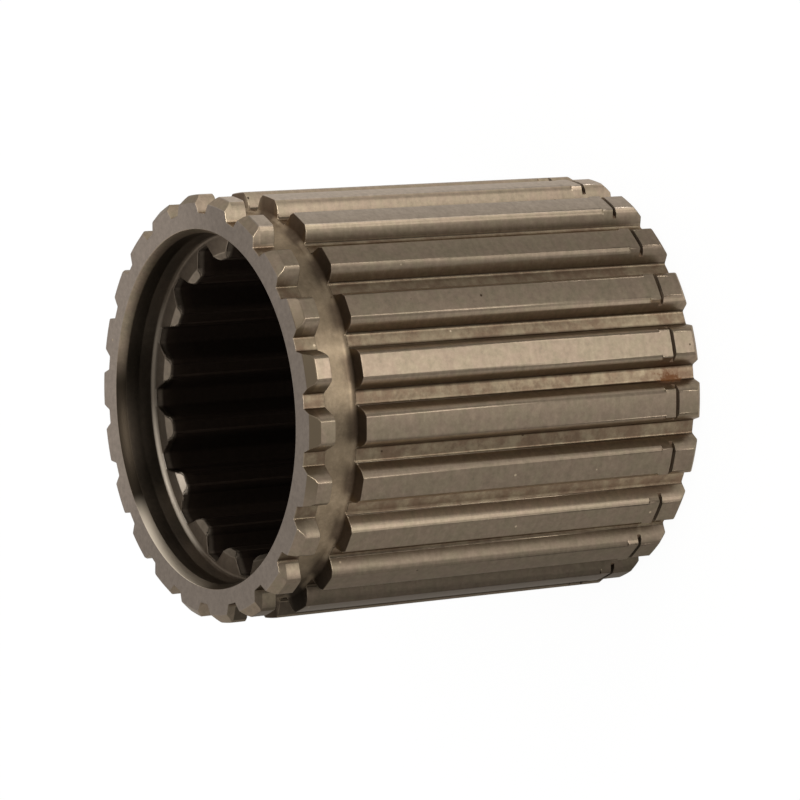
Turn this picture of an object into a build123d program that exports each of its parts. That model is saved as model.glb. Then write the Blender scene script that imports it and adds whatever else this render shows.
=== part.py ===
from build123d import *
import math
import os

# Splined coupling sleeve, one piece of turned and splined steel.
# It stands on its plain end at Z = 0, with the locking ring and the counterbore on top.
# An external tooth and an internal tooth are both centred on +X.

# Sleeve body, millimetres and degrees throughout
length = 74.5
end_chamfer = 1.35

# External spline
outer_count = 22
outer_module = 3.0
outer_addendum = 1.5
outer_dedendum = 1.4

# Long sliding teeth, with a narrow chamfer along both edges of each crest
long_thickness = 5.92
long_pressure_angle = 25.0
long_root_fillet = 0.4
tip_chamfer_width = 0.45
tip_chamfer_depth = 0.65

# Short teeth of the locking ring, leaner towards the crest, with plain edges and roots
ring_width = 4.0
ring_thickness = 5.6
ring_pressure_angle = 30.0

# Turned relief between the locking ring and the long teeth, with a ramp at the foot of the long teeth
relief_width = 5.6
relief_below_root = 0.5
relief_ramp = 0.9

# Groove for a wire ring near the plain end, and the unchamfered crests that back it up
snap_groove_height = 5.1
snap_groove_width = 0.7
snap_groove_depth = 1.25
full_crest_width = 1.95

# Internal spline
inner_count = 16
inner_module = 3.2
inner_addendum = 1.5
inner_dedendum = 1.9
inner_thickness = 5.03
inner_pressure_angle = 30.0
inner_root_fillet = 0.45
inner_crest_rounding = 0.8
inner_end_chamfer = 0.9

# Counterbore that leads into the internal spline, clear of its roots
counterbore_clearance = 0.8
counterbore_depth = 6.8
counterbore_corner = 0.6
mouth_chamfer_width = 0.7
mouth_chamfer_height = 1.6

# Radii that follow from the sizes above
outer_pitch_radius = outer_module * outer_count / 2
outer_crest_radius = outer_pitch_radius + outer_addendum
outer_root_radius = outer_pitch_radius - outer_dedendum
relief_floor_radius = outer_root_radius - relief_below_root
inner_pitch_radius = inner_module * inner_count / 2
inner_crest_radius = inner_pitch_radius - inner_addendum
inner_root_radius = inner_pitch_radius + inner_dedendum
counterbore_radius = inner_root_radius + counterbore_clearance
mouth_radius = counterbore_radius + mouth_chamfer_width

# Heights that follow from the sizes above
ring_base = length - ring_width
long_top = ring_base - relief_width
snap_groove_top = snap_groove_height + snap_groove_width
full_crest_top = snap_groove_top + full_crest_width
shoulder = length - counterbore_depth

# How far each cutter runs past the surface that it opens
overrun = 1.0


def at(radius, angle):
    """Point at a radius and an angle in radians from +X."""
    return Vector(radius * math.cos(angle), radius * math.sin(angle))


def on_circle(corner, radius):
    """Whether a corner of a sketch lies on the circle with this radius."""
    return math.isclose(Vector(corner).length, radius, rel_tol=1e-6)


def half_thickness(radius, pitch_radius, thickness, pressure_angle):
    """Half the angle, in radians, that an involute with this thickness at the pitch circle spans."""

    def involute(angle):
        return math.tan(angle) - angle

    pressure = math.radians(pressure_angle)
    local = math.acos(pitch_radius * math.cos(pressure) / radius)
    return thickness / (2 * pitch_radius) + involute(pressure) - involute(local)


def ring_space(radius):
    """Half the space between two teeth of the locking ring."""
    tooth = half_thickness(radius, outer_pitch_radius, ring_thickness, ring_pressure_angle)
    return math.pi / outer_count - tooth


def long_space(radius):
    """Half the space between two long teeth."""
    tooth = half_thickness(radius, outer_pitch_radius, long_thickness, long_pressure_angle)
    return math.pi / outer_count - tooth


def inner_space(radius):
    """Half the space between two internal teeth, which has the form of the shaft's own tooth."""
    pitch = 2 * math.pi * inner_pitch_radius / inner_count
    return half_thickness(radius, inner_pitch_radius, pitch - inner_thickness, inner_pressure_angle)


def spaces(count, root, crest, half_space, root_fillet=0.0):
    """Sketch of all the spaces of a spline, each flank an arc through three points of its form."""
    mouth = crest + math.copysign(overrun, crest - root)
    flank_radii = (root, (root + mouth) / 2, mouth)

    with BuildSketch() as space:
        with BuildLine():
            ThreePointArc(*(at(radius, half_space(radius)) for radius in flank_radii))
            ThreePointArc(*(at(radius, -half_space(radius)) for radius in flank_radii))
            ThreePointArc(*(at(root, side * half_space(root)) for side in (-1, 0, 1)))
            Line(at(mouth, -half_space(mouth)), at(mouth, half_space(mouth)))
        make_face()
        if root_fillet:
            root_corners = space.vertices().filter_by(lambda corner: on_circle(corner, root))
            fillet(root_corners, root_fillet)

    with BuildSketch() as pattern:
        with PolarLocations(0, count, start_angle=180 / count):
            add(space.sketch)
    return pattern.sketch


def tip_chamfers():
    """Sketch of the Vs that chamfer the crest edges on both sides of each space between long teeth."""
    flank_radius = outer_crest_radius - tip_chamfer_depth
    crest_angle = long_space(outer_crest_radius) + tip_chamfer_width / outer_crest_radius
    on_crest = at(outer_crest_radius, crest_angle)
    on_flank = at(flank_radius, long_space(flank_radius))
    slope = (on_crest - on_flank).normalized()
    high = on_crest + slope * overrun
    low = on_flank - slope * overrun / 2

    with BuildSketch() as pattern:
        with PolarLocations(0, outer_count, start_angle=180 / outer_count):
            Polygon((low.X, low.Y), (high.X, high.Y), (high.X, -high.Y), (low.X, -low.Y), align=None)
    return pattern.sketch


outer_form = (outer_count, outer_root_radius, outer_crest_radius)
ring_spaces = spaces(*outer_form, ring_space)
long_spaces = spaces(*outer_form, long_space, long_root_fillet)
inner_spaces = spaces(inner_count, inner_root_radius, inner_crest_radius, inner_space, inner_root_fillet)

with BuildPart() as coupling_sleeve:
    # Turned blank, with a bore that leaves some metal inside the crests of the internal teeth
    with BuildSketch(Plane.XZ) as blank:
        with BuildLine():
            Polyline(
                (inner_crest_radius + inner_end_chamfer, 0),
                (outer_crest_radius - end_chamfer, 0),
                (outer_crest_radius, end_chamfer),
                (outer_crest_radius, length - end_chamfer),
                (outer_crest_radius - end_chamfer, length),
                (mouth_radius, length),
                (counterbore_radius, length - mouth_chamfer_height),
                (counterbore_radius, shoulder),
                (inner_crest_radius + inner_end_chamfer, shoulder),
                (inner_crest_radius - overrun, shoulder - inner_end_chamfer - overrun),
                (inner_crest_radius - overrun, inner_end_chamfer + overrun),
                close=True,
            )
        make_face()
        shoulder_corner = blank.vertices().sort_by_distance((counterbore_radius, shoulder))[0]
        chamfer(shoulder_corner, counterbore_corner)
    revolve(axis=Axis.Z)

    # Relief between the locking ring and the long teeth
    with BuildSketch(Plane.XZ) as relief:
        with Locations((relief_floor_radius, long_top)):
            Rectangle(
                outer_crest_radius + overrun - relief_floor_radius,
                relief_width,
                align=(Align.MIN, Align.MIN),
            )
        chamfer(relief.vertices().sort_by_distance((relief_floor_radius, long_top))[0], relief_ramp)
    revolve(axis=Axis.Z, mode=Mode.SUBTRACT)

    # Wire ring groove
    with BuildSketch(Plane.XZ):
        with Locations((outer_crest_radius - snap_groove_depth, snap_groove_height)):
            Rectangle(snap_groove_depth + overrun, snap_groove_width, align=(Align.MIN, Align.MIN))
    revolve(axis=Axis.Z, mode=Mode.SUBTRACT)

    # Spaces between the external teeth, whose form changes in the middle of the relief. The crest
    # edges of the long teeth are chamfered, apart from a short stretch beside the wire ring groove
    snap_groove_middle = snap_groove_height + snap_groove_width / 2
    relief_middle = long_top + relief_width / 2
    for form, bottom, top in (
        (long_spaces, -overrun, relief_middle),
        (tip_chamfers(), -overrun, snap_groove_middle),
        (tip_chamfers(), full_crest_top, relief_middle),
        (ring_spaces, relief_middle, length + overrun),
    ):
        with BuildSketch(Plane.XY.offset(bottom)):
            add(form)
        extrude(amount=top - bottom, mode=Mode.SUBTRACT)

    # Bore and spaces between the internal teeth, whose crests are rounded into the flanks
    with BuildSketch(Plane.XY.offset(-overrun)) as bore:
        Circle(inner_crest_radius)
        add(inner_spaces)
        crest_corners = bore.vertices().filter_by(lambda corner: on_circle(corner, inner_crest_radius))
        fillet(crest_corners, inner_crest_rounding)
    extrude(amount=overrun + shoulder + overrun, mode=Mode.SUBTRACT)

coupling_sleeve.part.label = "coupling_sleeve"

os.makedirs("parts", exist_ok=True)
export_step(coupling_sleeve.part, "parts/coupling_sleeve.step")
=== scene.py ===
import math

import bmesh
import bpy
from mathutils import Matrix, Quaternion, Vector


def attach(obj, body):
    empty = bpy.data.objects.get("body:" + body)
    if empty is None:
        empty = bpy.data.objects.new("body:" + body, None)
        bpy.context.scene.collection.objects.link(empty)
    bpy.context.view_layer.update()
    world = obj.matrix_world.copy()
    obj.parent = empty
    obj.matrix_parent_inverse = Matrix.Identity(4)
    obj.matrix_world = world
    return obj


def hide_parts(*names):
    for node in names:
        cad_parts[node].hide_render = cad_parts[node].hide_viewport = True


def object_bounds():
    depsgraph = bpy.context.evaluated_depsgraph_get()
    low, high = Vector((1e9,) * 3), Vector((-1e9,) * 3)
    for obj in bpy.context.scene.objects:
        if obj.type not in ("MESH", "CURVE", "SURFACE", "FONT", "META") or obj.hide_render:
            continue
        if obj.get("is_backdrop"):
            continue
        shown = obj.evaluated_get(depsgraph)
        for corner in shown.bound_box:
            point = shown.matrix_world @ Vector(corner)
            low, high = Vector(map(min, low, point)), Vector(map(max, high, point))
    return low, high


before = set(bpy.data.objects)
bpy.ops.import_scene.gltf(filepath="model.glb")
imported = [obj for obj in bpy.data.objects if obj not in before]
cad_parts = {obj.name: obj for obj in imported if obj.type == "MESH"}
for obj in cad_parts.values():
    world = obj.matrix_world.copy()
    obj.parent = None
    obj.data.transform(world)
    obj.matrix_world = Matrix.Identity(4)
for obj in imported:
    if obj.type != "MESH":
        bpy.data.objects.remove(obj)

low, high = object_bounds()

# Splined sleeve.
# One piece of steel, turned and bored from the bar. Both splines are cut in it, and a neck is turned
# behind a ring of short teeth. The mesh repeats those cuts, in radii and heights of millimetres.
length = round(high[2] * 1000, 1)
outer_crest = round(high[0] * 1000, 1)
end_chamfer = 1.35

# Outer spline, from a module of 3 mm, with the wire ring groove as deep as the end chamfer
outer_teeth = 22
outer_pitch = 3.0 * outer_teeth / 2
outer_root = outer_pitch - 1.4
groove_low = 5.1
groove_high = 5.8
groove_floor = outer_crest - end_chamfer
plain_crest_top = 7.75

# Ring of short teeth, and the neck between it and the long teeth
ring_base = length - 4.0
long_top = ring_base - 5.6
neck_floor = outer_root - 0.5
neck_fillet = 0.9

# Inner spline, from a module of 3.2 mm, and the counterbore that leads into it
inner_teeth = 16
inner_pitch = 3.2 * inner_teeth / 2
inner_crest = inner_pitch - 1.5
inner_root = inner_pitch + 1.9
inner_end_chamfer = 0.9
counterbore = inner_root + 0.8
counterbore_fillet = 0.7
mouth = counterbore + 0.7
mouth_foot = length - 1.6
shoulder = length - 6.8


def involute(angle):
    return math.tan(angle) - angle


def half_thickness(radius, pitch, thickness, pressure_angle):
    """Half the angle that a tooth with this thickness at its pitch circle spans at a radius."""
    pressure = math.radians(pressure_angle)
    local = math.acos(pitch * math.cos(pressure) / radius)
    return thickness / (2 * pitch) + involute(pressure) - involute(local)


def rounded(before, corner, after, steps):
    """Points of a rounded corner between two points beside it, all as radius and angle."""
    points = [Vector((r * math.cos(a), r * math.sin(a))) for r, a in (before, corner, after)]
    curve = []
    for step in range(steps + 1):
        t = step / steps
        p = points[0] * (1 - t) ** 2 + points[1] * 2 * t * (1 - t) + points[2] * t ** 2
        curve.append((p.length, math.atan2(p.y, p.x)))
    return curve


def spread(radius, start, end, steps):
    """Points on a circle after the start angle, up to and with the end angle."""
    return [(radius, start + (end - start) * step / steps) for step in range(1, steps + 1)]


def all_round(half, teeth):
    """A whole outline: half a tooth and half a space, mirrored, then repeated for each tooth."""
    pitch = 2 * math.pi / teeth
    one = half[:-1] + [(radius, pitch - angle) for radius, angle in reversed(half[1:])]
    return [(radius, tooth * pitch + angle) for tooth in range(teeth) for radius, angle in one]


def outer_outline(thickness, pressure_angle, root_fillet, edge_width, edge_depth, sharp=False):
    """Outline of the outer teeth, whose crest edges are chamfered by a width and a depth, or sharp."""

    def flank(radius):
        return half_thickness(radius, outer_pitch, thickness, pressure_angle)

    crest_end = flank(outer_crest) - edge_width / outer_crest
    chamfer_foot = (outer_crest - edge_depth, flank(outer_crest - edge_depth))
    edge = (outer_crest, flank(outer_crest)) if sharp else chamfer_foot
    half = [(outer_crest, 0.0), (outer_crest, crest_end / 2), (outer_crest, crest_end), edge, chamfer_foot]

    flank_radii = (groove_floor, 32.55, neck_floor + neck_fillet)
    half += [(radius, flank(radius)) for radius in flank_radii]
    fillet_top = outer_root + root_fillet
    half += rounded(
        (fillet_top, flank(fillet_top)),
        (outer_root, flank(outer_root)),
        (outer_root, flank(outer_root) + root_fillet / outer_root),
        steps=3,
    )
    half += spread(outer_root, half[-1][1], math.pi / outer_teeth, steps=5)
    return all_round(half, outer_teeth)


def inner_outline(thickness, pressure_angle, root_fillet, rounding_width, rounding_depth):
    """Outline of the inner teeth, whose crests are rounded into the flanks by a width and a depth."""

    def flank(radius):
        pitch = 2 * math.pi * inner_pitch / inner_teeth
        space = half_thickness(radius, inner_pitch, pitch - thickness, pressure_angle)
        return math.pi / inner_teeth - space

    crest_end = flank(inner_crest)
    rounding_end = inner_crest + rounding_depth
    tip = rounded(
        (inner_crest, crest_end - rounding_width / inner_crest),
        (inner_crest, crest_end),
        (rounding_end, flank(rounding_end)),
        steps=6,
    )
    half = [(inner_crest, 0.0)] + spread(inner_crest, 0.0, tip[0][1], steps=3)[:-1] + tip

    flank_radii = (inner_crest + inner_end_chamfer, 25.5, 26.1, 26.7)
    half += [(radius, flank(radius)) for radius in flank_radii]
    half += rounded(
        (inner_root - root_fillet, flank(inner_root - root_fillet)),
        (inner_root, flank(inner_root)),
        (inner_root, flank(inner_root) + root_fillet / inner_root),
        steps=4,
    )
    half += spread(inner_root, half[-1][1], math.pi / inner_teeth, steps=4)
    return all_round(half, inner_teeth)


def level(outline, height, most=outer_crest, least=inner_crest):
    """The outline at a height, its radii held between two limits, with a mark where a limit is met."""
    points = []
    for radius, angle in outline:
        held = min(max(radius, least), most)
        marked = abs(held - most) < 1e-5 or abs(held - least) < 1e-5
        points.append((Vector((held * math.cos(angle), held * math.sin(angle), height)), marked))
    return points


# Each outline has 704 points, so that any of them joins any other point by point
long_teeth = outer_outline(5.92, 25.0, root_fillet=0.3, edge_width=0.45, edge_depth=0.675)
plain_teeth = outer_outline(5.92, 25.0, root_fillet=0.3, edge_width=0.45, edge_depth=0.675, sharp=True)
ring_teeth = outer_outline(5.6, 30.0, root_fillet=0.15, edge_width=0.3, edge_depth=0.45)
bore_teeth = inner_outline(5.03, 30.0, root_fillet=0.3, rounding_width=0.95, rounding_depth=0.78)

# Up the outside: plain end, wire ring groove, plain crests beside it, long teeth. On each flat end the
# outer teeth change to the inner ones between two circles, where no tooth reaches
outer_circle = 31.0
inner_circle = 28.5
levels = [
    level(long_teeth, 0.0, most=outer_circle),
    level(long_teeth, 0.0, most=outer_crest - end_chamfer),
    level(long_teeth, end_chamfer / 2, most=outer_crest - end_chamfer / 2),
    level(long_teeth, end_chamfer),
    level(long_teeth, groove_low),
    level(long_teeth, groove_low, most=groove_floor),
    level(plain_teeth, groove_high, most=groove_floor),
    level(plain_teeth, groove_high),
    level(plain_teeth, plain_crest_top),
    level(long_teeth, plain_crest_top),
    level(long_teeth, long_top),
]

# Fillet at the foot of the long teeth, with a level at each radius that the outline has there and at
# some below the roots
fillet_centre = neck_floor + neck_fillet
cuts = {round(r, 6) for r, _ in long_teeth if neck_floor < r <= fillet_centre + 1e-6}
for radius in sorted(cuts | {31.45, 31.3, 31.18, neck_floor}, reverse=True):
    drop = math.sqrt(max(neck_fillet ** 2 - (fillet_centre - radius) ** 2, 0.0))
    levels.append(level(long_teeth, long_top + neck_fillet - drop, most=radius))

# Neck, ring of short teeth with its end chamfer, mouth of the counterbore
ring_edge_chamfer = 0.45
levels += [
    level(ring_teeth, ring_base, most=neck_floor),
    level(ring_teeth, ring_base),
    level(ring_teeth, length - end_chamfer),
    level(ring_teeth, length - end_chamfer + ring_edge_chamfer, most=outer_crest - ring_edge_chamfer),
    level(ring_teeth, length, most=outer_crest - end_chamfer),
    level(ring_teeth, length, most=outer_circle),
    level(bore_teeth, length, least=mouth),
    level(bore_teeth, mouth_foot, least=counterbore),
]

# Counterbore corner, then down the inner teeth, which are chamfered at both ends
for step in range(5):
    angle = math.radians(90 * step / 4)
    radius = counterbore - counterbore_fillet * (1 - math.cos(angle))
    levels.append(level(bore_teeth, shoulder + counterbore_fillet * (1 - math.sin(angle)), least=radius))
chamfer_foot = inner_crest + inner_end_chamfer
cuts = sorted({round(r, 6) for r, _ in bore_teeth if r <= chamfer_foot + 1e-6})
for radius in reversed(cuts):
    levels.append(level(bore_teeth, shoulder - (chamfer_foot - radius), least=radius))
for radius in cuts:
    levels.append(level(bore_teeth, chamfer_foot - radius, least=radius))
levels.append(level(bore_teeth, 0.0, least=inner_circle))

# Skin from each level to the next. A face with one corner cut off by a limit is split along that cut
form = bmesh.new()
rows = [[form.verts.new(point / 1000) for point, _ in row] for row in levels]
for this, row in enumerate(rows):
    after = (this + 1) % len(rows)
    for i in range(len(row)):
        k = (i + 1) % len(row)
        places = ((this, i), (this, k), (after, k), (after, i))
        corners = [rows[n][m] for n, m in places]
        a, b, c, d = (levels[n][m][1] for n, m in places)
        if a and c and not (b and d):
            form.faces.new((corners[0], corners[1], corners[2]))
            form.faces.new((corners[0], corners[2], corners[3]))
        elif b and d and not (a and c):
            form.faces.new((corners[0], corners[1], corners[3]))
            form.faces.new((corners[1], corners[2], corners[3]))
        else:
            form.faces.new(corners)
bmesh.ops.remove_doubles(form, verts=form.verts, dist=1e-7)
bmesh.ops.dissolve_degenerate(form, edges=form.edges, dist=1e-7)
bmesh.ops.recalc_face_normals(form, faces=form.faces)

# Outer corners are marked for wear, and inner ones stay sharp. The corners of the groove are not worn
outer_corner = 28
inner_corner = -35
for face in form.faces:
    face.smooth = True
worn = form.edges.layers.float.new("bevel_weight_edge")
for edge in form.edges:
    bend = math.degrees(edge.calc_face_angle_signed(0))
    in_groove = all(groove_low - 0.05 < vertex.co.z * 1000 < groove_high + 0.05 for vertex in edge.verts)
    if bend > outer_corner and not in_groove:
        edge[worn] = 1.0
    edge.smooth = bend > inner_corner and not (in_groove and bend > outer_corner)
mesh = bpy.data.meshes.new("splined_sleeve")
form.to_mesh(mesh)
form.free()
sleeve = bpy.data.objects.new("splined_sleeve", mesh)
bpy.context.scene.collection.objects.link(sleeve)

# Wear of 0.15 mm, which gives the thin bright lines along the corners
edges = sleeve.modifiers.new("worn_edges", "BEVEL")
edges.width = 0.00015
edges.segments = 2
edges.loop_slide = False
edges.limit_method = "WEIGHT"
edges.use_clamp_overlap = False
edges.harden_normals = True


# Run-in steel: ground crests, hobbed flanks and a turned neck that have run in oil. It gives the eye
# bare metal under a thin warm grey-brown film, tan in the spaces. The bore is painted near black, as
# painted shade.
def linear(hex_colour):
    """sRGB hex turned into a linear colour."""
    channels = [int(hex_colour[i:i + 2], 16) / 255 for i in (1, 3, 5)]
    return [c / 12.92 if c <= 0.04045 else ((c + 0.055) / 1.055) ** 2.4 for c in channels] + [1.0]


def add_node(tree, kind, inputs=None, output=0, **settings):
    """Adds a shader node with its settings, fills its inputs with values or links, gives one output."""
    node = tree.nodes.new(kind)
    for name, value in settings.items():
        setattr(node, name, value)
    for key, value in (inputs or {}).items():
        if isinstance(value, bpy.types.NodeSocket):
            tree.links.new(value, node.inputs[key])
        else:
            node.inputs[key].default_value = value
    return node.outputs[output] if node.outputs else None


steel = bpy.data.materials.new("run_in_steel")
steel.use_nodes = True
tree = steel.node_tree
tree.nodes.clear()

# Place on the sleeve: distance from the axis and height above the plain end in millimetres, angle in
# radians round it
in_metres = add_node(tree, "ShaderNodeTexCoord", output="Object")
place = add_node(tree, "ShaderNodeVectorMath", {0: in_metres, "Scale": 1000.0}, operation="SCALE")
x, y, height = add_node(tree, "ShaderNodeSeparateXYZ", {0: place}).node.outputs
across = add_node(tree, "ShaderNodeVectorMath", {0: place, 1: (1, 1, 0)}, operation="MULTIPLY")
radius = add_node(tree, "ShaderNodeVectorMath", {0: across}, output="Value", operation="LENGTH")
outward = add_node(tree, "ShaderNodeVectorMath", {0: across}, operation="NORMALIZE")
angle = add_node(tree, "ShaderNodeMath", {0: y, 1: x}, operation="ARCTAN2")


def zone(*bands, share=1.0):
    """A share, left whole where every band is full. A band is a zone, or a value, its start and its end."""
    for band in bands:
        if isinstance(band, tuple):
            value, start, full = band
            limits = {0: value, 1: start, 2: full}
            band = add_node(tree, "ShaderNodeMapRange", limits, interpolation_type="SMOOTHSTEP")
        share = add_node(tree, "ShaderNodeMath", {0: share, 1: band}, operation="MULTIPLY")
    return share


def side(azimuth, within, beyond):
    """A band that is full within one angle from an azimuth and ends beyond another, all in degrees."""
    azimuth, within, beyond = (math.radians(degrees) for degrees in (azimuth, within, beyond))
    inputs = {0: outward, 1: (math.cos(azimuth), math.sin(azimuth), 0)}
    cosine = add_node(tree, "ShaderNodeVectorMath", inputs, output="Value", operation="DOT_PRODUCT")
    return cosine, math.cos(beyond), math.cos(within)


# Zones of the outer teeth: crests, chamfered strips beside them, flanks, root fillets, spaces
outside = zone((radius, mouth + 0.2, mouth + 0.4))
on_long_teeth = zone((height, long_top - 0.05, long_top - 0.1))
on_ring = zone((height, ring_base + 0.02, ring_base + 0.1), (height, length - end_chamfer, length - 1.5))
toothed = add_node(tree, "ShaderNodeMath", {0: on_long_teeth, 1: on_ring}, operation="MAXIMUM")
crest = zone((radius, outer_crest - 0.2, outer_crest - 0.08))
below_crest = zone((radius, outer_crest - 0.25, outer_crest - 0.35), (height, ring_base, ring_base - 0.1))
strips = zone((radius, outer_crest - 0.7, outer_crest - 0.6), toothed)
strips_off_crest = zone(strips, (radius, outer_crest - 0.01, outer_crest - 0.1))
flanks = zone((radius, outer_root + 0.4, outer_root + 0.6), toothed)
flanks_off_crest = zone(flanks, (radius, outer_crest - 0.25, outer_crest - 0.4))
root_fillets = zone(
    (radius, outer_root + 0.02, outer_root + 0.08),
    (radius, outer_root + 0.42, outer_root + 0.32),
    (height, long_top - 0.1, long_top - 0.2),
)
spaces = zone((radius, outer_root + 0.5, outer_root + 0.05), outside, (height, length - 0.1, length - 0.3))

# Zones of the groove, of the neck, of the front of each long tooth beside it, and of the ring's end
groove = zone(
    (height, groove_low - 0.02, groove_low + 0.06),
    (height, groove_high + 0.02, groove_high - 0.06),
    (radius, outer_crest - 0.05, outer_crest - 0.2),
    (radius, groove_floor - 0.1, groove_floor - 0.03),
)
neck = zone(
    (height, long_top - 0.7, long_top + 1.1),
    (height, ring_base + 0.1, ring_base - 0.1),
    (radius, outer_root + 0.5, outer_root + 0.1),
)
on_tooth = add_node(tree, "ShaderNodeMath", {0: angle, 1: outer_teeth}, operation="MULTIPLY")
on_tooth = add_node(tree, "ShaderNodeMath", {0: on_tooth}, operation="COSINE")
front = zone(
    (height, long_top + 2.4, long_top + 0.1),
    (height, long_top - 0.08, long_top - 0.02),
    (on_tooth, -0.75, 0.55),
    outside,
)
cone = add_node(tree, "ShaderNodeMath", {0: radius, 1: height}, operation="ADD")
ring_chamfer = zone(
    (cone, outer_crest + length - end_chamfer - 0.15, outer_crest + length - end_chamfer - 0.03),
    (height, length - end_chamfer - 0.05, length - end_chamfer + 0.05),
)
end_face = zone((height, length - 0.08, length - 0.02))

# Zones inside: mouth chamfer, wall and corner of the counterbore, ends of the teeth, deep bore
mouth_chamfer = zone((height, mouth_foot - 0.05, mouth_foot + 0.05), (radius, mouth + 0.02, mouth - 0.02))
inside = zone((radius, mouth - 0.1, mouth - 0.4), (height, mouth_foot + 0.2, mouth_foot - 0.1))
wall = zone(inside, (radius, counterbore - 0.2, counterbore - 0.05))
corner = zone(
    inside,
    (radius, counterbore - 0.9, counterbore - 0.75),
    (height, shoulder - 0.2, shoulder - 0.05),
    (height, shoulder + 0.7, shoulder + 0.4),
)
tooth_end = zone(inside, (radius, counterbore - 0.2, counterbore - 0.4))
tooth_chamfer = zone(
    (radius, inner_crest + 1.1, inner_crest + 0.9),
    (height, shoulder - 1.0, shoulder - 0.8),
)
past_chamfer = zone(inside, (radius, inner_crest + 0.9, inner_crest + 1.1))
deep = zone(inside, (height, shoulder - 0.8, shoulder - 1.5))

# Film in patches 3.3 mm wide on the crests, and in stains 2.4 mm wide where oil has dried in the
# spaces and the neck. Inputs 6 and 7 of a mix are its two colours
patch_width = 3.333
stain_width = 2.381
cloudy = {"Vector": place, "Detail": 4.0, "Roughness": 0.65}
patches = add_node(tree, "ShaderNodeTexNoise", {**cloudy, "Scale": 1 / patch_width})
stains = {**cloudy, "Scale": 1 / stain_width, "W": 3.7}
stains = add_node(tree, "ShaderNodeTexNoise", stains, noise_dimensions="4D")
films = []
for share, one, other in (
    (zone((patches, 0.38, 0.64)), "#7f7060", "#7c705e"),
    (zone((stains, 0.36, 0.66)), "#655444", "#7a6d59"),
    (zone((stains, 0.4, 0.7)), "#7b6c58", "#877762"),
):
    inputs = {0: share, 6: linear(one), 7: linear(other)}
    films.append(add_node(tree, "ShaderNodeMix", inputs, output=2, data_type="RGBA"))
colour, space_film, neck_film = films

# Colours of the zones, each laid over the ones before
for share, coat in (
    (spaces, space_film),
    (neck, neck_film),
    # Painted shade: the fronts of the long teeth and the foot of the neck before them, under the ring, are
    # darker
    (zone(front, share=0.88), linear("#4c3f33")),
    # Painted shade: the counterbore and the ends of the inner teeth are darker and the deep bore is near
    # black; the chamfers of the inner teeth keep a paler tone
    (inside, linear("#40382f")),
    (tooth_end, linear("#5c5247")),
    (tooth_chamfer, linear("#74695c")),
    (deep, linear("#2a221c")),
    # Painted highlight: the crests on the side towards azimuth 0 are lighter
    (zone(crest, side(0, 8.1, 29.5)), linear("#897e72")),
    (end_face, linear("#857a70")),
):
    colour = add_node(tree, "ShaderNodeMix", {0: share, 6: colour, 7: coat}, output=2, data_type="RGBA")

# Painted light and shade: a ramp round the axis makes the colour lighter on some sides of the sleeve and
# darker on others
turned = add_node(tree, "ShaderNodeMapRange", {0: angle, 1: -math.pi, 2: math.pi})
ramp = add_node(tree, "ShaderNodeValToRGB", {0: turned}).node
ramp.color_ramp.interpolation = "EASE"
for azimuth, share in (
    (-165, 0.2), (-147, 0.0), (-131, 0.19), (-114, 0.353), (-82, 0.44), (-65, 0.41),
    (-49, 0.36), (-33, 0.335), (-16, 0.73), (0, 1.0), (60, 0.55),
):
    ramp.color_ramp.elements.new((azimuth + 180) / 360).color = (share, share, share, 1)
for end in (ramp.color_ramp.elements[0], ramp.color_ramp.elements[-1]):
    end.color = (0.335, 0.335, 0.335, 1)
shine = add_node(tree, "ShaderNodeMapRange", {0: ramp.outputs[0], 3: 0.3, 4: 1.8})
# Painted light: the end face is lighter towards azimuth 75 and darker away from it
face_shine = add_node(tree, "ShaderNodeMapRange", {0: zone(side(75, 45.6, 78.5)), 3: 0.73, 4: 1.02})
shine = add_node(tree, "ShaderNodeMix", {0: end_face, 2: shine, 3: face_shine})
shine = add_node(tree, "ShaderNodeMix", {0: ring_chamfer, 2: shine, 3: 0.85})

# Painted light and shade: on given sides of the sleeve, zones are made lighter as painted highlights by a
# factor above one, and darker as painted shade by a factor below one
for share, factor in (
    (zone(below_crest, side(-112, 8.1, 21.6)), 1.45),
    (zone(neck, side(-74, 9.9, 16.3)), 0.78),
    (zone(neck, side(-50, 3.6, 6.8)), 1.35),
    (zone(flanks_off_crest, side(-5.5, 2.6, 5.7)), 0.78),
    (zone(flanks_off_crest, side(-22, 2.6, 5.7)), 0.7),
    (zone(flanks_off_crest, side(-43.6, 2.6, 5.7)), 1.3),
    (zone(flanks_off_crest, side(-62, 14.1, 25.8)), 1.35),
    (zone(flanks_off_crest, side(-87.3, 2.6, 5.7)), 1.3),
    (zone(flanks_off_crest, side(-159, 5.7, 9.9)), 0.42),
    (zone(flanks_off_crest, on_ring, side(-134, 8.1, 11.5)), 1.7),
    (zone(strips_off_crest, side(-53, 1.8, 3.6), (height, 55.0, 10.0)), 1.6),
    (zone(strips_off_crest, side(-110.5, 1.8, 3.6)), 0.78),
    (zone(crest, on_ring), 1.1),
    (zone(front, side(-147, 8.1, 18.2)), 0.5),
    (root_fillets, 0.55),
    (zone(spaces, (height, 30.0, 8.0)), 1.25),
    (zone(spaces, side(-73.6, 8.1, 14.1), (height, 25.0, 50.0)), 0.85),
    (zone(ring_chamfer, side(0, 5.7, 14.1)), 1.27),
    (zone(wall, side(108, 18.2, 31.8)), 0.45),
    (zone(wall, side(174, 9.9, 21.6)), 1.8),
    (zone(past_chamfer, side(165, 18.2, 41.4)), 1.6),
):
    factor = add_node(tree, "ShaderNodeMapRange", {0: share, 3: 1.0, 4: factor})
    shine = add_node(tree, "ShaderNodeMath", {0: shine, 1: factor}, operation="MULTIPLY")

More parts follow.
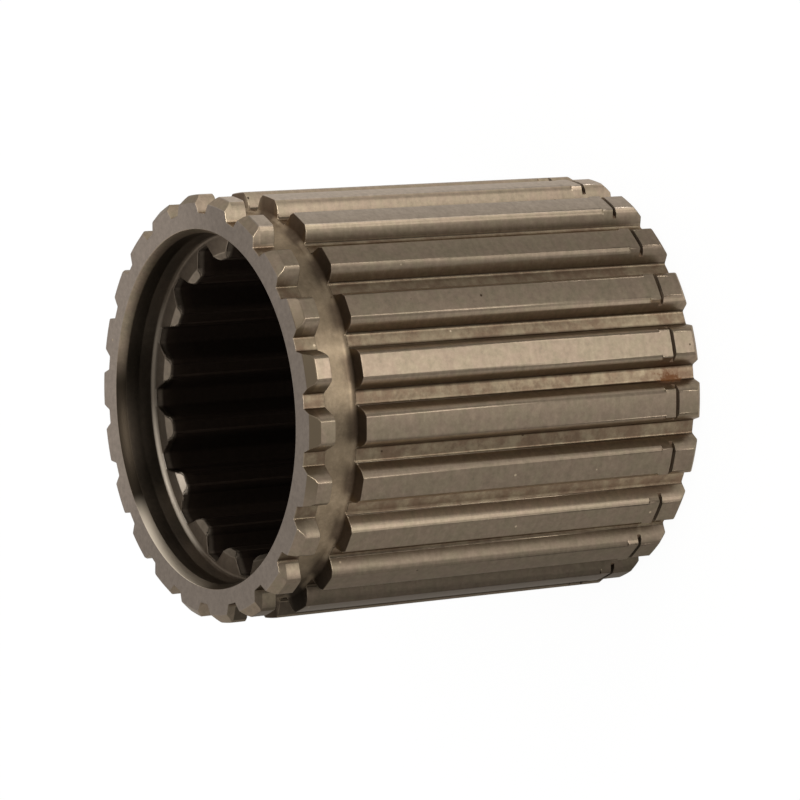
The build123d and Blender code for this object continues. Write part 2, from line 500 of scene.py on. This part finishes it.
# Grain of the steel and marks that turning left round it. Both are too fine to show at their real
# size, so the grain is drawn 0.9 mm wide, and the marks 7 mm long and 1.1 mm apart
grain_width = 0.909
mark_length = 6.9
mark_spacing = 1.111
grain = {"Vector": place, "Scale": 1 / grain_width, "Detail": 4.0, "Roughness": 0.75}
grain = add_node(tree, "ShaderNodeTexNoise", grain)
grain = add_node(tree, "ShaderNodeMapRange", {0: grain, 1: 0.3, 2: 0.7, 3: 0.84, 4: 1.16})
unrolled = add_node(tree, "ShaderNodeCombineXYZ", {0: angle, 1: height})
inputs = {0: unrolled, 1: (outer_crest / mark_length, 1 / mark_spacing, 0.0)}
unrolled = add_node(tree, "ShaderNodeVectorMath", inputs, operation="MULTIPLY")
marks = {"Vector": unrolled, "Scale": 1.0, "Detail": 4.0, "Roughness": 0.7}
marks = add_node(tree, "ShaderNodeTexNoise", marks)
marks = add_node(tree, "ShaderNodeMapRange", {0: marks, 1: 0.3, 2: 0.7, 3: 0.93, 4: 1.07})
for pattern in (grain, marks):
    shine = add_node(tree, "ShaderNodeMath", {0: shine, 1: pattern}, operation="MULTIPLY")
colour = add_node(tree, "ShaderNodeVectorMath", {0: colour, "Scale": shine}, operation="SCALE")

# Specks about 4.5 mm apart, pale where the film is scratched through and dark where dirt sticks. The
# number that each cell draws makes its speck pale, dark or none
speck_spacing = 4.545
cells = add_node(tree, "ShaderNodeTexVoronoi", {"Vector": place, "Scale": 1 / speck_spacing})
ragged = add_node(tree, "ShaderNodeMath", {0: grain, 1: 0.04}, operation="MULTIPLY")
from_speck = add_node(tree, "ShaderNodeMath", {0: cells, 1: ragged}, operation="ADD")
speck = zone((from_speck, 0.1, 0.07), outside)
drawn = add_node(tree, "ShaderNodeSeparateXYZ", {0: cells.node.outputs["Color"]})

# A rust bloom in one space near the plain end, denser in its middle and ragged by the grain
rust_place = (8.2, -30.5, 5.1)
ragged = add_node(tree, "ShaderNodeMapRange", {0: grain, 1: 0.84, 2: 1.16, 3: -0.8, 4: 0.8})
rust_stretch = (1.0, 1.0, 0.55)
from_rust = add_node(tree, "ShaderNodeVectorMath", {0: place, 1: rust_place}, operation="SUBTRACT")
from_rust = add_node(tree, "ShaderNodeVectorMath", {0: from_rust, 1: rust_stretch}, operation="MULTIPLY")
from_rust = add_node(tree, "ShaderNodeVectorMath", {0: from_rust}, output="Value", operation="LENGTH")
from_rust = add_node(tree, "ShaderNodeMath", {0: from_rust, 1: ragged}, operation="ADD")
rust = zone((from_rust, 1.5, 0.5), outside)

# Marks over the film: painted shade and painted highlights at the ring's end and in the counterbore, then
# specks, rust and the dirt in the groove
for share, coat in (
    # Painted shade: the ring's end chamfer is darker on the side near azimuth -74
    (zone(ring_chamfer, side(-74, 16.3, 31.8)), "#5c5142"),
    # Painted shade on the mouth chamfer near azimuth 115, and a painted highlight near azimuth 164
    (zone(mouth_chamfer, side(115, 18.2, 32.9)), "#28221b"),
    (zone(mouth_chamfer, side(164, 14.1, 30.7)), "#d2c4b0"),
    # Painted highlight on the corner of the counterbore, brightest near azimuth 133
    (zone(corner, side(115, 31.8, 53.1)), "#6a6156"),
    (zone(corner, side(133, 0.0, 32.9)), "#b8ac9c"),
    # Painted highlight on the chamfers of the inner teeth near azimuth 135
    (zone(tooth_chamfer, side(135, 5.7, 9.9)), "#b5a898"),
    (zone(speck, (drawn, 0.62, 0.63)), "#a6967f"),
    (zone(speck, (drawn, 0.4, 0.39)), "#3c3025"),
    (zone((from_rust, 3.2, 1.0), outside, share=0.5), "#66503f"),
    (rust, "#553315"),
    (groove, "#4b3a2a"),
):
    inputs = {0: share, 6: colour, 7: linear(coat)}
    colour = add_node(tree, "ShaderNodeMix", inputs, output=2, data_type="RGBA")

# Worked surfaces have fine tool marks, which stretch the highlights on them. Rust and the dirt in the
# groove are dry and not metallic
worked = crest
for part in (spaces, neck, strips, zone(flanks, share=0.5)):
    worked = add_node(tree, "ShaderNodeMath", {0: worked, 1: part}, operation="MAXIMUM")
dry = add_node(tree, "ShaderNodeMath", {0: groove, 1: zone(rust, share=0.7)}, operation="MAXIMUM")
roughness = add_node(tree, "ShaderNodeMapRange", {0: worked, 3: 0.36, 4: 0.42})
for part in (zone(front, share=0.55), zone(neck, share=0.44), zone(deep, share=0.75), dry):
    roughness = add_node(tree, "ShaderNodeMath", {0: roughness, 1: part}, operation="MAXIMUM")
surface = add_node(tree, "ShaderNodeBsdfPrincipled", {
    "Base Color": colour,
    "Metallic": add_node(tree, "ShaderNodeMath", {0: 1.0, 1: dry}, operation="SUBTRACT"),
    "Roughness": roughness,
    "Specular Tint": (0.72, 0.68, 0.64, 1.0),
    "Anisotropic": zone(worked, share=0.8),
    "Anisotropic Rotation": 0.25,
    "Tangent": add_node(tree, "ShaderNodeTangent", direction_type="RADIAL", axis="Z"),
})
add_node(tree, "ShaderNodeOutputMaterial", {"Surface": surface})
sleeve.data.materials.append(steel)

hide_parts("coupling_sleeve")
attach(sleeve, "root")

# Floor.
# A wide sheet of plain white paper under the sleeve. To the camera it is nearly as white as the studio
# round it, so that only the soft shadow of the sleeve shows on it.
bpy.ops.mesh.primitive_plane_add(size=12)
floor = bpy.context.object
floor.name = "floor"
paper = bpy.data.materials.new("white_paper")
paper.use_nodes = True
tree = paper.node_tree
tree.nodes.clear()
camera_ray = add_node(tree, "ShaderNodeLightPath", output="Is Camera Ray")
share = add_node(tree, "ShaderNodeMapRange", {0: camera_ray, 3: 0.7, 4: 0.9})
matt = add_node(tree, "ShaderNodeBsdfDiffuse", {"Color": linear("#e8e8e6")})
glow = add_node(tree, "ShaderNodeEmission", {"Strength": 1.05})
sheet = add_node(tree, "ShaderNodeMixShader", {0: share, 1: matt, 2: glow})
add_node(tree, "ShaderNodeOutputMaterial", {"Surface": sheet})
floor.data.materials.append(paper)
floor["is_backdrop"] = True

# Lights.
# A wide, low soft box in front of the crests that shine in the picture, and a small, weak one high
# on the other side, which lights the ring end and gives the shadow its direction.


def soft_box(name, azimuth, distance, height, width, tall, power):
    """A rectangular lamp that looks at the middle of the sleeve."""
    light = bpy.data.lights.new(name, "AREA")
    light.shape = "RECTANGLE"
    light.size = width
    light.size_y = tall
    light.energy = power
    lamp = bpy.data.objects.new(name, light)
    angle = math.radians(azimuth)
    lamp.location = (distance * math.cos(angle), distance * math.sin(angle), height)
    lamp.rotation_mode = "QUATERNION"
    lamp.rotation_quaternion = (Vector((0, 0, 0.037)) - lamp.location).to_track_quat("-Z", "Y")
    bpy.context.scene.collection.objects.link(lamp)


soft_box("key_light", azimuth=-61.0, distance=1.0, height=0.09, width=0.58, tall=0.16, power=8.8)
soft_box("top_light", azimuth=-14.0, distance=0.67, height=0.85, width=0.2, tall=0.2, power=0.6)

# World.
# The walls of a pale studio: white to the eye, in reflections and through openings, and a softer grey
# as the light that they give.
world = bpy.data.worlds.new("studio")
bpy.context.scene.world = world
world.use_nodes = True
tree = world.node_tree
tree.nodes.clear()
rays = add_node(tree, "ShaderNodeLightPath").node.outputs
seen = rays["Is Camera Ray"]
for ray in ("Is Glossy Ray", "Is Transmission Ray"):
    seen = add_node(tree, "ShaderNodeMath", {0: seen, 1: rays[ray]}, operation="MAXIMUM")
fill = add_node(tree, "ShaderNodeBackground", {"Color": (1, 1, 1, 1), "Strength": 0.7})
white = add_node(tree, "ShaderNodeBackground", {"Color": (1, 1, 1, 1), "Strength": 1.0})
sky = add_node(tree, "ShaderNodeMixShader", {0: seen, 1: fill, 2: white})
add_node(tree, "ShaderNodeOutputWorld", {"Surface": sky})

# Camera.
# A long lens 0.70 m from the middle of the sleeve and 32 degrees above the floor. It is turned on its
# side, because the sleeve lies down in the picture.
azimuth = math.radians(-73.4394)
elevation = math.radians(32.0546)
distance = 0.702674
roll = math.radians(-94.522)
aim = Vector((-0.000945, -0.000281, 0.03708))
towards = Vector((
    math.cos(elevation) * math.cos(azimuth),
    math.cos(elevation) * math.sin(azimuth),
    math.sin(elevation),
))
lens = bpy.data.cameras.new("camera")
lens.lens = 191.489
camera = bpy.data.objects.new("camera", lens)
camera.rotation_mode = "QUATERNION"
camera.rotation_quaternion = (-towards).to_track_quat("-Z", "Y") @ Quaternion((0, 0, 1), roll)
camera.location = aim + towards * distance
bpy.context.scene.collection.objects.link(camera)
bpy.context.scene.camera = camera
bpy.context.scene.view_settings.view_transform = "Standard"

low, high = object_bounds()
